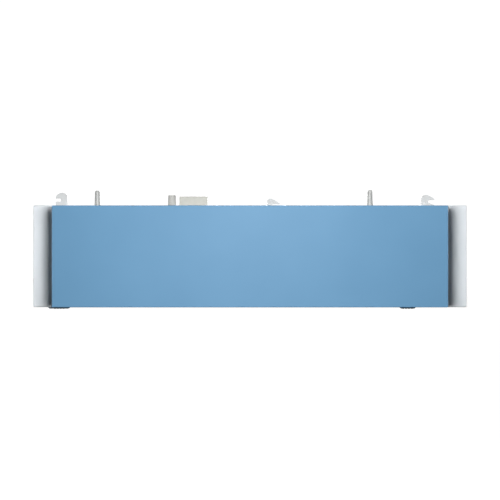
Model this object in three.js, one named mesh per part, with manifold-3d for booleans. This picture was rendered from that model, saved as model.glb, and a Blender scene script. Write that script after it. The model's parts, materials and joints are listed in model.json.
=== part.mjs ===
// Desk privacy panel: a folded-steel face tile carried on stand-offs in front of a shallow back
// tray. The tray is a folded front sheet with folded rails and end caps welded inside its edges.
// Locating pins, a bump stop and a key block stand on its top rail, and two sprung slide latches
// run inside it: their hooks catch on the desk's rail and their grips show underneath.
// Millimetres, +X along the panel, +Z up, -Y towards the side that the face looks at.
// The origin is the centre of the bearing face of the top rail's lip.
import * as THREE from 'three';
import { mergeVertices } from 'three/addons/utils/BufferGeometryUtils.js';
import Module from 'manifold-3d';

const wasm = await Module();
wasm.setup();

// Driving dimensions
const trayWidth = 1345;
const trayHeight = 316;
const trayDepth = 24;
const traySheet = 1.5;
const trayBend = 4.2; // outer radius of the front sheet's folds
const trayCorner = 5;
const trayReturn = 5.5; // depth of the front sheet's folded edges
const railSheet = 1.5;
const railBend = 3;
const railLip = 16; // height of the rails' and end caps' legs

const endReveal = 72.5; // tray seen past each end of the face
const edgeReveal = 3.5; // tray seen past the face's long edges
const faceDepth = 22;
const faceSheet = 1.2;
const faceBend = 2.6;
const faceCorner = 3;
const faceReturn = 9;
const faceBackSheet = 1;
const coreInset = 2;
const shadowGap = 30; // open space between the tray and the face

const seatGap = 0.3; // kept between pieces that touch
const slideGap = 0.4; // kept between pieces that slide on each other
const slotGap = 0.8; // round a moving plate where it passes the tray

// Stand-offs and their screws
const standoffRadius = 10;
const standoffEndInset = 80; // from the face's ends
const standoffEdgeInset = 60; // from the face's long edges
const spigotRadius = 5;
const spigotLength = 7;
const screwRadius = 3;
const screwHeadRadius = 6;
const screwHeadHeight = 3.6;
const screwCrownRadius = 4.3; // the head's flat crown
const screwReach = 14; // length of screw beyond the sheet that it holds
const socketRadius = 2.1; // hexagon socket in a screw's head
const threadReach = 4; // thread past the tray's sheet where nothing is behind it

// Slide latches
const latchTravel = 18;
const latchSheet = 3;
const latchPlaneInset = 12; // from the tray's back to the middle of the latch plates
const barSheet = 2.5;
const barHeight = 24;
const barTopInset = 26; // from the tray's top to the draw bar
const barOverhang = 9; // draw bar past the stems of its two hooks
const lapReach = 32.7; // the centre hook's foot, from its stem's middle
const shoulderRadius = 4;
const guideHeadRadius = 8;
const guideHeadHeight = 3;
const guideSocketRadius = 2.4;
const guideSocketDepth = 2;
const glideRadius = 9;
const guideEdgeInset = 68; // left latch guides, from the tray's long edges
const innerGuideInset = 85; // from the centre hook's stem
const outerGuideInset = 42.5; // from the release arm's middle
const armGuideInset = 48; // arm guide, from the tray's bottom
const rivetRadius = 3;
const rivetHeadRadius = 4.6;
const rivetHeadHeight = 1.4;
const rivetSpacing = 11;

const springRadius = 5;
const springBore = 3.5;
const springLength = 44;
const springTongue = 8;
const springTongueHeight = 4.6;
const bracketSheet = 2;
const bracketFoot = 26;
const bracketHeight = 24;

const leftStemInset = 93.8; // from the tray's left end to the middle of the hook's stem
const rightStemInset = 129.7; // from the tray's right end
const centreStemOffset = 61.1; // from the tray's middle
const leftSpineOffset = -9; // from the left stem's middle to the line of its guides and its foot

// Each hook's outline: the back curves from nape height up to the crown, pulled towards the nape,
// and then over the brow down to the tip. The pairs are [reach, height].
const leftHook = {
  stemWidth: 18.7, height: 39.8, crown: 6.2, nape: [-9.35, 38.5], napeFoot: 22, brow: [20.8, 37.8],
  tipReach: 25.8, nose: 5.5, barb: 1.4, seat: 22, lipTop: 11.8, lipReach: 26.3, lipDrop: 0,
};
const centreHook = {
  stemWidth: 16.2, height: 21.6, crown: 1.8, nape: [-7, 20.5], napeFoot: 10, brow: [15, 19.5],
  tipReach: 31.1, nose: 2.5, barb: 0, seat: 4.3, lipTop: null, lipReach: 0, lipDrop: 0,
};
const rightHook = {
  stemWidth: 23.6, height: 34.2, crown: 5.6, nape: [-9.5, 31], napeFoot: 15.6, brow: [24, 28],
  tipReach: 31.7, nose: 2.4, barb: 0, seat: 17, lipTop: 6.3, lipReach: 31.5, lipDrop: 4.6,
};
const lockHoleRadius = 2;
const lockHoleHeight = 7;
const throatSteps = 12;
const crownSteps = 8;

// How finely round shapes are drawn
const rodSides = 16;
const turnedSides = 20;
const hexSides = 6;
const bevelSteps = 3;
const foldSteps = 4;

const armWidth = 30;
const rightArmInset = 182.2; // from the tray's right end to the middle of the release arm
const leftGrip = { width: 66.4, offset: -15 }; // offset from the stem's middle
const rightGrip = { width: 49, offset: 0 };
const gripDepth = 16;
const gripHeight = 5.4;
const gripNeckWidth = 26;
const gripNeckDepth = 8;
const gripNeckHeight = 16;
const gripNeckWall = 4;
const gripSocketDepth = 12;
const gripJoin = 1; // how far the grip's bars run into each other
const gripRibs = 4;
const gripRibWidth = 3;
const gripRibPitch = 9;
const gripRibHeight = 1.2;

// Pieces on the tray's top rail
const topPieceInset = 9.8; // from the tray's back to the middle of the pieces
const topPieceFootRadius = 8;
const topPieceFootHeight = 2.5;
const pinBaseRadius = 8.8;
const pinTipRadius = 7.3;
const pinTipRound = 5.5;
const pinShankRadius = 4;
const pinShankLength = 14;
const leftPinInset = 196.6;
const leftPinHeight = 46.5;
const rightPinInset = 298.6;
const rightPinHeight = 48.2;
const domeSteps = 6;
const nutFlats = 13;
const nutHeight = 6.5;
const bufferOffset = -243.3;
const bufferHeight = 31.8;
const bufferBaseRadius = 12.3;
const bufferTopRadius = 11.4;
const blockOffset = -175.4;
const blockWidth = 87.4;
const blockDepth = 16;
const blockHeight = 27.6;
const blockCorner = 1.6;
const blockEdge = 1.4;
const blockScrewSpacing = 56;

// Levels worked out from the sizes above
const railTop = (railLip + railBend) / 2;
const trayTop = railTop + seatGap + traySheet;
const trayBottom = trayTop - trayHeight;
const trayMiddle = trayTop - trayHeight / 2;
const trayFront = -trayDepth;
const railBottom = trayBottom + traySheet + seatGap;
const railFront = trayFront + traySheet + seatGap;
const railEnd = trayWidth / 2 - traySheet - 2 * seatGap - railSheet; // where the rails stop
const topY = -topPieceInset;
const sheetInside = trayFront + traySheet;
const faceWidth = trayWidth - 2 * endReveal;
const faceHeight = trayHeight - 2 * edgeReveal;
const faceRear = trayFront - shadowGap;
const faceFront = faceRear - faceDepth;
const latchY = -latchPlaneInset;
const latchFront = latchY - latchSheet / 2;
const latchRear = latchY + latchSheet / 2;
const barFront = latchRear + seatGap;
const barRear = barFront + barSheet;
const barTop = trayTop - barTopInset;
const barMiddle = barTop - barHeight / 2;
const leftStem = -trayWidth / 2 + leftStemInset;
const rightStem = trayWidth / 2 - rightStemInset;
const rightArm = trayWidth / 2 - rightArmInset;
const barStart = centreStemOffset - centreHook.stemWidth / 2 - barOverhang;
const barEnd = rightStem + rightHook.stemWidth / 2 + barOverhang;
const undersideGrip = trayBottom - slideGap;
const plateStart = undersideGrip + gripNeckHeight + seatGap; // lower end of the latch plates
const footWidth = gripNeckWidth - 2 * gripNeckWall;
const leftSpine = leftStem + leftSpineOffset;
const leftEdge = leftStem + leftHook.stemWidth / 2; // the left latch's inner edge
const webInside = railTop - railSheet; // underside of the top rail's web
const shankBottom = webInside - pinShankLength;
const past = 1; // how far a cutting tool runs past what it cuts

// Geometry helpers
function toSolid(geometry) {
  const bare = geometry.index ? geometry.toNonIndexed() : geometry;
  bare.deleteAttribute('normal');
  bare.deleteAttribute('uv');
  const merged = mergeVertices(bare, 1e-4);
  return new wasm.Manifold(new wasm.Mesh({
    numProp: 3,
    vertProperties: new Float32Array(merged.attributes.position.array),
    triVerts: new Uint32Array(merged.index.array),
  }));
}

function toGeometry(solid) {
  const mesh = solid.getMesh();
  const geometry = new THREE.BufferGeometry();
  geometry.setAttribute('position', new THREE.BufferAttribute(new Float32Array(mesh.vertProperties), 3));
  geometry.setIndex(new THREE.BufferAttribute(new Uint32Array(mesh.triVerts), 1));
  geometry.computeVertexNormals();
  return geometry;
}

function block(x0, x1, y0, y1, z0, z1) {
  const geometry = new THREE.BoxGeometry(x1 - x0, y1 - y0, z1 - z0);
  geometry.translate((x0 + x1) / 2, (y0 + y1) / 2, (z0 + z1) / 2);
  return toSolid(geometry);
}

// A round bar along the named axis, from low to high on that axis
function rod(axis, radius, low, high, a, b, sides = rodSides) {
  const geometry = new THREE.CylinderGeometry(radius, radius, high - low, sides);
  const middle = (low + high) / 2;
  if (axis === 'x') {
    geometry.rotateZ(-Math.PI / 2);
    geometry.translate(middle, a, b);
  } else if (axis === 'y') {
    geometry.translate(a, middle, b);
  } else {
    geometry.rotateX(Math.PI / 2);
    geometry.translate(a, b, middle);
  }
  return toSolid(geometry);
}

function roundedOutline(width, height, radius) {
  const x = width / 2;
  const z = height / 2;
  const shape = new THREE.Shape();
  shape.moveTo(-x + radius, -z);
  shape.lineTo(x - radius, -z);
  shape.absarc(x - radius, -z + radius, radius, -Math.PI / 2, 0);
  shape.lineTo(x, z - radius);
  shape.absarc(x - radius, z - radius, radius, 0, Math.PI / 2);
  shape.lineTo(-x + radius, z);
  shape.absarc(-x + radius, z - radius, radius, Math.PI / 2, Math.PI);
  shape.lineTo(-x, -z + radius);
  shape.absarc(-x + radius, -z + radius, radius, Math.PI, 1.5 * Math.PI);
  return shape;
}

// An upright plate: the outline is drawn in X and Z, and the plate lies between y0 and y1
function plate(shape, y0, y1, edge = 0, curveSegments = bevelSteps) {
  const geometry = new THREE.ExtrudeGeometry(shape, {
    depth: y1 - y0 - 2 * edge,
    bevelEnabled: edge > 0,
    bevelThickness: edge,
    bevelSize: edge,
    bevelOffset: -edge,
    bevelSegments: bevelSteps,
    curveSegments,
  });
  geometry.rotateX(Math.PI / 2);
  geometry.translate(0, y1 - edge, 0);
  return toSolid(geometry);
}

function slab(width, height, radius, edge, y0, y1, z) {
  return plate(roundedOutline(width, height, radius), y0, y1, edge).translate([0, 0, z]);
}

// A turned piece about Z: the profile's points are [radius, height] from axis to axis
function turned(profile) {
  const points = profile.map(([r, h]) => new THREE.Vector2(r, h));
  const geometry = new THREE.LatheGeometry(points, turnedSides);
  geometry.rotateX(Math.PI / 2);
  return toSolid(geometry);
}

// A folded sheet box with round front edges: walls of one thickness, and an open back
function foldedPan(width, height, sheet, bend, corner, front, rear) {
  const reach = 2 * (rear - front);
  const outer = slab(width, height, corner, bend, front, front + reach, trayMiddle);
  const hollow = slab(
    width - 2 * sheet, height - 2 * sheet, corner - sheet, bend - sheet,
    front + sheet, front + reach, trayMiddle,
  );
  const behind = block(-width, width, rear, rear + reach, trayMiddle - height, trayMiddle + height);
  return outer.subtract(hollow).subtract(behind);
}

// Section of a folded channel, drawn with its web on top: legs of one height, round outer folds
function channelSection(depth, height, sheet, bend) {
  const inner = bend - sheet;
  const shape = new THREE.Shape();
  shape.moveTo(0, -height);
  shape.lineTo(0, -bend);
  shape.absarc(bend, -bend, bend, Math.PI, Math.PI / 2, true);
  shape.lineTo(depth - bend, 0);
  shape.absarc(depth - bend, -bend, bend, Math.PI / 2, 0, true);
  shape.lineTo(depth, -height);
  shape.lineTo(depth - sheet, -height);
  shape.lineTo(depth - sheet, -bend);
  shape.absarc(depth - bend, -bend, inner, 0, Math.PI / 2);
  shape.lineTo(bend, -sheet);
  shape.absarc(bend, -bend, inner, Math.PI / 2, Math.PI);
  shape.lineTo(sheet, -height);
  shape.closePath();
  return shape;
}

// A channel of the given length centred on the origin: its section's width lies along Y
// and its legs point to -Z, and it is then turned about Y
function channel(length, depth, height, turn) {
  const geometry = new THREE.ExtrudeGeometry(channelSection(depth, height, railSheet, railBend), {
    depth: length, bevelEnabled: false, curveSegments: foldSteps,
  });
  geometry.translate(0, 0, -length / 2);
  const toLength = new THREE.Matrix4().makeBasis(
    new THREE.Vector3(0, 1, 0), new THREE.Vector3(0, 0, 1), new THREE.Vector3(1, 0, 0),
  );
  geometry.applyMatrix4(toLength);
  geometry.rotateY(turn);
  return toSolid(geometry);
}

const panel = new THREE.Group();

function finish(color, roughness, metalness) {
  return { color, roughness, metalness };
}

const finishes = {
  blueCoat: finish('#7babd1', 0.62, 0),
  greyCoat: finish('#dfe2e5', 0.55, 0),
  board: finish('#b79b72', 0.9, 0),
  zinc: finish('#c3c7ca', 0.38, 0.85),
  hookSteel: finish('#dce0e3', 0.5, 0.1),
  spring: finish('#9ea2a6', 0.3, 0.9),
  grip: finish('#566069', 0.6, 0),
  glide: finish('#efefec', 0.5, 0),
  pin: finish('#e2e4e5', 0.45, 0),
  rubber: finish('#c9cccd', 0.85, 0),
  block: finish('#d7d8d2', 0.6, 0),
};

function add(name, solid, look) {
  const mesh = new THREE.Mesh(toGeometry(solid), new THREE.MeshStandardMaterial(finishes[look]));
  mesh.name = name;
  panel.add(mesh);
}

// Outline of a hook plate. Reaches are measured from the stem's middle towards the mouth's side,
// which is +1 for +X and -1 for -X, and heights from the tray's top. Below the shoulder line the
// plate runs from footFrom to footTo, down to foot.
function hookOutline(hook, stem, side, foot, footFrom, footTo) {
  const half = hook.stemWidth / 2;
  const shoulderLine = barTop - trayTop;
  const shape = new THREE.Shape();
  const point = (reach, height) => [stem + side * reach, trayTop + height];
  const line = (reach, height) => shape.lineTo(...point(reach, height));
  shape.moveTo(...point(footFrom, foot - trayTop));
  line(footFrom, shoulderLine);
  line(-half, shoulderLine);
  line(-half, hook.napeFoot);
  shape.quadraticCurveTo(...point(...hook.nape), ...point(hook.crown, hook.height));
  shape.quadraticCurveTo(...point(...hook.brow), ...point(hook.tipReach, hook.seat + hook.nose));
  line(hook.tipReach, hook.seat - hook.barb);
  if (hook.lipTop === null) {
    line(half, hook.seat);
    line(half, shoulderLine);
  } else {
    const mouthRadius = (hook.seat - hook.lipTop) / 2;
    const throat = half + mouthRadius;
    line(hook.tipReach - 2 * hook.barb, hook.seat);
    for (let step = 0; step <= throatSteps; step += 1) {
      const turn = (Math.PI * step) / throatSteps;
      line(
        throat - mouthRadius * Math.sin(turn),
        hook.seat - mouthRadius + mouthRadius * Math.cos(turn),
      );
    }
    line(hook.lipReach, hook.lipTop - hook.lipDrop);
    line(hook.lipReach, shoulderLine);
  }
  line(footTo, shoulderLine);
  line(footTo, foot - trayTop);
  shape.closePath();
  return shape;
}

// A clearance hole along Y or Z for a round shank
function holeAlongY(x, z, radius, y0, y1) {
  return rod('y', radius + seatGap, y0 - past, y1 + past, x, z);
}

function holeAlongZ(x, radius, z0, z1) {
  return rod('z', radius + seatGap, z0 - past, z1 + past, x, topY);
}

// A slot for a guide's shoulder, as long as the travel; side is the way the latch moves
function guideSlot(x, z, y0, y1, side) {
  const radius = shoulderRadius + slideGap;
  const far = x - side * latchTravel;
  const from = y0 - past;
  const to = y1 + past;
  return rod('y', radius, from, to, x, z)
    .add(rod('y', radius, from, to, far, z))
    .add(block(Math.min(x, far), Math.max(x, far), from, to, z - radius, z + radius));
}

// Places that several pieces share
function standoffPlaces() {
  const places = [];
  const x = faceWidth / 2 - standoffEndInset;
  const z = faceHeight / 2 - standoffEdgeInset;
  for (const [column, across] of [['left', -x], ['middle', 0], ['right', x]]) {
    for (const [row, up] of [['upper', z], ['lower', -z]]) {
      places.push({ name: `${column}_${row}`, x: across, z: trayMiddle + up });
    }
  }
  return places;
}

function leftGuidePlaces() {
  return [
    { name: 'left_guide_upper', x: leftSpine, z: trayTop - guideEdgeInset },
    { name: 'left_guide_lower', x: leftSpine, z: trayBottom + guideEdgeInset },
  ];
}

function barGuidePlaces() {
  return [
    { name: 'bar_guide_inner', x: centreStemOffset + innerGuideInset, z: barMiddle },
    { name: 'bar_guide_outer', x: rightArm - outerGuideInset, z: barMiddle },
  ];
}

function armGuidePlace() {
  return { name: 'arm_guide', x: rightArm, z: trayBottom + armGuideInset };
}

function topPieces() {
  return [
    { name: 'left_pin', x: -trayWidth / 2 + leftPinInset, height: leftPinHeight },
    { name: 'right_pin', x: trayWidth / 2 - rightPinInset, height: rightPinHeight },
    { name: 'bump_stop', x: bufferOffset, height: bufferHeight },
  ];
}

function blockScrewPlaces() {
  return [
    { name: 'key_block_screw_left', x: blockOffset - blockScrewSpacing / 2 },
    { name: 'key_block_screw_right', x: blockOffset + blockScrewSpacing / 2 },
  ];
}

// Face tile: a folded skin round a core board, closed by a sheet behind its return lips
function buildFace() {
  const lipFrom = faceRear - faceSheet;
  const skin = foldedPan(faceWidth, faceHeight, faceSheet, faceBend, faceCorner, faceFront, faceRear);
  const lipOutside = slab(
    faceWidth - faceSheet, faceHeight - faceSheet, faceCorner, 0, lipFrom, faceRear, trayMiddle,
  );
  const lipInside = slab(
    faceWidth - 2 * faceReturn, faceHeight - 2 * faceReturn, faceCorner, 0,
    lipFrom - past, faceRear + past, trayMiddle,
  );
  const lips = lipOutside.subtract(lipInside);
  add('face_skin', skin.add(lips), 'blueCoat');
  const clearWidth = faceWidth - 2 * faceSheet - 2 * coreInset;
  const clearHeight = faceHeight - 2 * faceSheet - 2 * coreInset;
  const backTo = lipFrom - seatGap;
  const backFrom = backTo - faceBackSheet;
  const coreFrom = faceFront + faceSheet + seatGap;
  const coreTo = backFrom - seatGap;
  let core = slab(clearWidth, clearHeight, faceCorner, 0, coreFrom, coreTo, trayMiddle);
  let back = slab(clearWidth, clearHeight, faceCorner, 0, backFrom, backTo, trayMiddle);
  for (const { x, z } of standoffPlaces()) {
    const hole = rod(
      'y', spigotRadius + seatGap, faceRear - spigotLength - seatGap, faceRear + past, x, z,
    );
    core = core.subtract(hole);
    back = back.subtract(hole);
  }
  add('face_core', core, 'board');
  add('face_back_sheet', back, 'greyCoat');
}

function buildStandoffs() {
  for (const { name, x, z } of standoffPlaces()) {
    const body = rod('y', standoffRadius, faceRear + seatGap, trayFront - seatGap, x, z)
      .add(rod('y', spigotRadius, faceRear - spigotLength, faceRear + past, x, z));
    const bore = rod(
      'y', screwRadius + seatGap, trayFront - screwReach - seatGap, trayFront, x, z,
    );
    add(`standoff_${name}`, body.subtract(bore), 'zinc');
    add(`standoff_screw_${name}`, screwAlongY(x, z, sheetInside, screwReach + traySheet), 'zinc');
  }
}

// A domed socket screw seated on a face at seat, its head towards +Y and its shank towards -Y
function screwAlongY(x, z, seat, length) {
  const low = seat + seatGap;
  const high = low + screwHeadHeight;
  const middle = (low + high) / 2;
  const head = new THREE.CylinderGeometry(screwCrownRadius, screwHeadRadius, screwHeadHeight, rodSides);
  head.translate(x, middle, z);
  return toSolid(head)
    .add(rod('y', screwRadius, seat - length, middle, x, z))
    .subtract(rod('y', socketRadius, middle, high + past, x, z, hexSides));
}

// The same screw from inside the tray up through its top flange
function screwUpwards(x) {
  const high = webInside - seatGap;
  const low = high - screwHeadHeight;
  return rod('z', screwHeadRadius, low, high, x, topY)
    .add(rod('z', screwRadius, (low + high) / 2, railTop + screwReach, x, topY))
    .subtract(rod('z', socketRadius, low - past, (low + high) / 2, x, topY, hexSides));
}

// A latch guide: a glide spacer on the sheet and a shoulder screw through the plate's slot
function addGuide({ name, x, z }, front, rear) {
  const seat = sheetInside + seatGap;
  const glide = rod('y', glideRadius, seat, front - slideGap, x, z)
    .subtract(holeAlongY(x, z, shoulderRadius, seat, front));
  add(`${name}_glide`, glide, 'glide');
  const headFrom = rear + slideGap;
  const headTo = headFrom + guideHeadHeight;
  const screw = rod('y', guideHeadRadius, headFrom, headTo, x, z)
    .add(rod('y', shoulderRadius, seat, (headFrom + headTo) / 2, x, z))
    .add(rod('y', screwRadius, trayFront - threadReach, seat + past, x, z))
    .subtract(rod('y', guideSocketRadius, headTo - guideSocketDepth, headTo + past, x, z, hexSides));
  add(`${name}_screw`, screw, 'zinc');
}

// The tongue on a plate's edge that keeps its spring in place
function springTongueAt(edge, z, side, y0, y1) {
  const root = edge - side * past;
  const tip = edge + side * springTongue;
  const half = springTongueHeight / 2;
  return block(Math.min(root, tip), Math.max(root, tip), y0, y1, z - half, z + half);
}

// The bracket's screw, counted from the edge that its spring pushes on
function bracketScrewX(edge, side) {
  return edge + side * (springLength + seatGap + bracketSheet + (bracketFoot - bracketSheet) / 2);
}

// A return spring between a plate's edge and an angle bracket on the tray's sheet
function addSpring(prefix, edge, side, y, z) {
  const span = (a, b) => [Math.min(a, b), Math.max(a, b)];
  const [low, high] = span(edge + side * seatGap, edge + side * springLength);
  const coil = rod('x', springRadius, low, high, y, z)
    .subtract(rod('x', springBore, low - past, high + past, y, z));
  add(`${prefix}_spring`, coil, 'spring');
  const wall = edge + side * (springLength + seatGap);
  const footFrom = sheetInside + seatGap;
  const footTo = footFrom + bracketSheet;
  const z0 = z - bracketHeight / 2;
  const z1 = z + bracketHeight / 2;
  const screwX = bracketScrewX(edge, side);
  const bracket = block(...span(wall, wall + side * bracketFoot), footFrom, footTo, z0, z1)
    .add(block(...span(wall, wall + side * bracketSheet), footFrom, y + springRadius + past, z0, z1))
    .subtract(holeAlongY(screwX, z, screwRadius, footFrom, footTo));
  add(`${prefix}_spring_bracket`, bracket, 'zinc');
  const screwLength = bracketSheet + seatGap + traySheet + threadReach;
  add(`${prefix}_bracket_screw`, screwAlongY(screwX, z, footTo, screwLength), 'zinc');
}

// A grip: a ribbed thumb plate under the tray, and a neck that the latch plate's foot is pressed into
function gripSolid(middle, neckMiddle, width) {
  const y0 = latchY - gripDepth / 2;
  const y1 = latchY + gripDepth / 2;
  const top = undersideGrip;
  const ribFoot = top - gripHeight;
  const base = ribFoot + gripRibHeight;
  const half = width / 2;
  const slope = top - base;
  const shape = new THREE.Shape();
  shape.moveTo(middle - half, top);
  shape.lineTo(middle - half + slope, base);
  shape.lineTo(middle + half - slope, base);
  shape.lineTo(middle + half, top);
  shape.closePath();
  const neckTop = top + gripNeckHeight;
  const neckHalf = gripNeckWidth / 2;
  const neckDeep = gripNeckDepth / 2;
  let solid = plate(shape, y0, y1).add(block(
    neckMiddle - neckHalf, neckMiddle + neckHalf,
    latchY - neckDeep, latchY + neckDeep, top - gripJoin, neckTop,
  ));
  for (let rib = 0; rib < gripRibs; rib += 1) {
    const x = middle + (rib - (gripRibs - 1) / 2) * gripRibPitch - gripRibWidth / 2;
    const from = y0 + gripRibWidth;
    const to = y1 - gripRibWidth;
    solid = solid.add(block(x, x + gripRibWidth, from, to, ribFoot, base + gripJoin));
  }
  const socketHalf = footWidth / 2 + seatGap;
  return solid.subtract(block(
    neckMiddle - socketHalf, neckMiddle + socketHalf,
    latchFront - seatGap, latchRear + seatGap, neckTop - gripSocketDepth, neckTop + past,
  ));
}

// The foot of a latch plate, inside its grip's neck
function plateFoot(x) {
  const half = footWidth / 2;
  const low = undersideGrip + gripNeckHeight - gripSocketDepth + seatGap;
  return block(x - half, x + half, latchFront, latchRear, low, plateStart + past);
}

function buildLeftLatch() {
  const half = leftHook.stemWidth / 2;
  const outline = hookOutline(leftHook, leftStem, -1, plateStart, -half, leftHook.lipReach);
  let latch = plate(outline, latchFront, latchRear, 0, crownSteps)
    .add(plateFoot(leftSpine))
    .add(springTongueAt(leftEdge, trayMiddle, 1, latchFront, latchRear));
  for (const place of leftGuidePlaces()) {
    latch = latch.subtract(guideSlot(place.x, place.z, latchFront, latchRear, 1));
    addGuide(place, latchFront, latchRear);
  }
  add('left_latch_plate', latch, 'hookSteel');
  add('left_grip', gripSolid(leftStem + leftGrip.offset, leftSpine, leftGrip.width), 'grip');
  addSpring('left', leftEdge, 1, latchY, trayMiddle);
}

function rivetPlaces() {
  const lapMiddle = centreStemOffset + (lapReach - centreHook.stemWidth / 2) / 2;
  const laps = [
    { name: 'centre_hook', x: lapMiddle },
    { name: 'right_hook', x: rightStem },
    { name: 'release_arm', x: rightArm },
  ];
  return laps.flatMap(({ name, x }) => [
    { name, label: `${name}_rivet_a`, x: x - rivetSpacing / 2 },
    { name, label: `${name}_rivet_b`, x: x + rivetSpacing / 2 },
  ]);
}

function rivetSolid(x) {
  const front = latchFront - seatGap;
  const rear = barRear + seatGap;
  const headFront = front - rivetHeadHeight;
  const headRear = rear + rivetHeadHeight;
  return rod('y', rivetRadius, (headFront + front) / 2, (rear + headRear) / 2, x, barMiddle)
    .add(rod('y', rivetHeadRadius, headFront, front, x, barMiddle))
    .add(rod('y', rivetHeadRadius, rear, headRear, x, barMiddle));
}

// The two right-opening hooks and the release arm, riveted to one draw bar behind them
function buildRightLatch() {
  const lapFoot = barTop - barHeight;
  const centreHalf = centreHook.stemWidth / 2;
  const rightHalf = rightHook.stemWidth / 2;
  const centreOutline = hookOutline(centreHook, centreStemOffset, 1, lapFoot, -centreHalf, lapReach);
  const rightOutline = hookOutline(rightHook, rightStem, 1, lapFoot, -rightHalf, rightHook.lipReach);
  const lockHole = rod(
    'y', lockHoleRadius, latchFront - past, latchRear + past, rightStem, trayTop + lockHoleHeight,
  );
  const armGuide = armGuidePlace();
  const armHalf = armWidth / 2;
  const pieces = {
    centre_hook: plate(centreOutline, latchFront, latchRear, 0, crownSteps),
    right_hook: plate(rightOutline, latchFront, latchRear, 0, crownSteps).subtract(lockHole),
    release_arm: block(rightArm - armHalf, rightArm + armHalf, latchFront, latchRear, plateStart, barTop)
      .add(plateFoot(rightArm))
      .subtract(guideSlot(armGuide.x, armGuide.z, latchFront, latchRear, -1)),
    draw_bar: block(barStart, barEnd, barFront, barRear, lapFoot, barTop)
      .add(springTongueAt(barStart, barMiddle, -1, barFront, barRear)),
  };
  for (const place of barGuidePlaces()) {
    pieces.draw_bar = pieces.draw_bar.subtract(guideSlot(place.x, place.z, barFront, barRear, -1));
    addGuide(place, barFront, barRear);
  }
  addGuide(armGuide, latchFront, latchRear);
  for (const { name, label, x } of rivetPlaces()) {
    const hole = holeAlongY(x, barMiddle, rivetRadius, latchFront, barRear);
    pieces[name] = pieces[name].subtract(hole);
    pieces.draw_bar = pieces.draw_bar.subtract(hole);
    add(label, rivetSolid(x), 'zinc');
  }
  add('centre_hook', pieces.centre_hook, 'hookSteel');
  add('right_hook', pieces.right_hook, 'hookSteel');
  add('release_arm', pieces.release_arm, 'zinc');
  add('draw_bar', pieces.draw_bar, 'zinc');
  add('right_grip', gripSolid(rightArm + rightGrip.offset, rightArm, rightGrip.width), 'grip');
  addSpring('right', barStart, -1, (barFront + barRear) / 2, barMiddle);
}

// Outline of a turned piece that stands on the top rail, with a shank through the rail's web.
// Each has a narrower foot beside the front sheet's fold. A pin has a rounded tip and the stop a
// flat top.
function standingProfile(baseRadius, tipRadius, height, domed) {
  const top = trayTop + height;
  const seat = railTop + seatGap;
  const footTop = seat + topPieceFootHeight;
  const profile = [[0, shankBottom], [pinShankRadius, shankBottom], [pinShankRadius, seat]];
  profile.push([topPieceFootRadius, seat], [topPieceFootRadius, footTop], [baseRadius, footTop]);
  if (!domed) {
    profile.push([tipRadius, top]);
  } else {
    const crownRadius = tipRadius - pinTipRound;
    for (let step = 0; step <= domeSteps; step += 1) {
      const turn = (Math.PI / 2) * (step / domeSteps);
      const rise = top - pinTipRound + pinTipRound * Math.sin(turn);
      profile.push([crownRadius + pinTipRound * Math.cos(turn), rise]);
    }
  }
  profile.push([0, top]);
  return profile;
}

function hexNut(x) {
  const corner = nutFlats / Math.sqrt(3);
  const high = webInside - seatGap;
  const low = high - nutHeight;
  return rod('z', corner, low, high, x, topY, hexSides).subtract(holeAlongZ(x, pinShankRadius, low, high));
}

function buildTopPieces() {
  for (const { name, x, height } of topPieces()) {
    const isStop = name === 'bump_stop';
    const profile = isStop
      ? standingProfile(bufferBaseRadius, bufferTopRadius, height, false)
      : standingProfile(pinBaseRadius, pinTipRadius, height, true);
    add(name, turned(profile).translate([x, topY, 0]), isStop ? 'rubber' : 'pin');
    add(`${name}_nut`, hexNut(x), 'zinc');
  }
  const seat = railTop + seatGap;
  const tall = trayTop + blockHeight - seat;
  const outline = roundedOutline(blockWidth, tall, blockCorner);
  let key = plate(outline, topY - blockDepth / 2, topY + blockDepth / 2, blockEdge)
    .translate([blockOffset, 0, seat + tall / 2]);
  for (const { name, x } of blockScrewPlaces()) {
    const bore = rod(
      'z', screwRadius + seatGap, railTop, railTop + screwReach + seatGap, x, topY,
    );
    key = key.subtract(bore);
    add(name, screwUpwards(x), 'zinc');
  }
  add('key_block', key, 'block');
}

// Back tray: a folded front sheet, a rail along its top and bottom, and a cap at each end
function buildTray() {
  let sheet = foldedPan(
    trayWidth, trayHeight, traySheet, trayBend, trayCorner, trayFront, trayFront + trayReturn,
  );
  const sheetHoles = [
    ...standoffPlaces(), ...leftGuidePlaces(), ...barGuidePlaces(), armGuidePlace(),
    { x: bracketScrewX(leftEdge, 1), z: trayMiddle },
    { x: bracketScrewX(barStart, -1), z: barMiddle },
  ];
  for (const { x, z } of sheetHoles) {
    sheet = sheet.subtract(holeAlongY(x, z, screwRadius, trayFront, sheetInside));
  }
  add('tray_sheet', sheet, 'greyCoat');
  add('top_rail', cutTopRail(channel(2 * railEnd, -railFront, railLip, 0)), 'greyCoat');
  add('bottom_rail', cutBottomRail(channel(2 * railEnd, -railFront, railLip, Math.PI)), 'greyCoat');
  add('left_end_cap', endCap(-1), 'greyCoat');
  add('right_end_cap', endCap(1), 'greyCoat');
}

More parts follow.
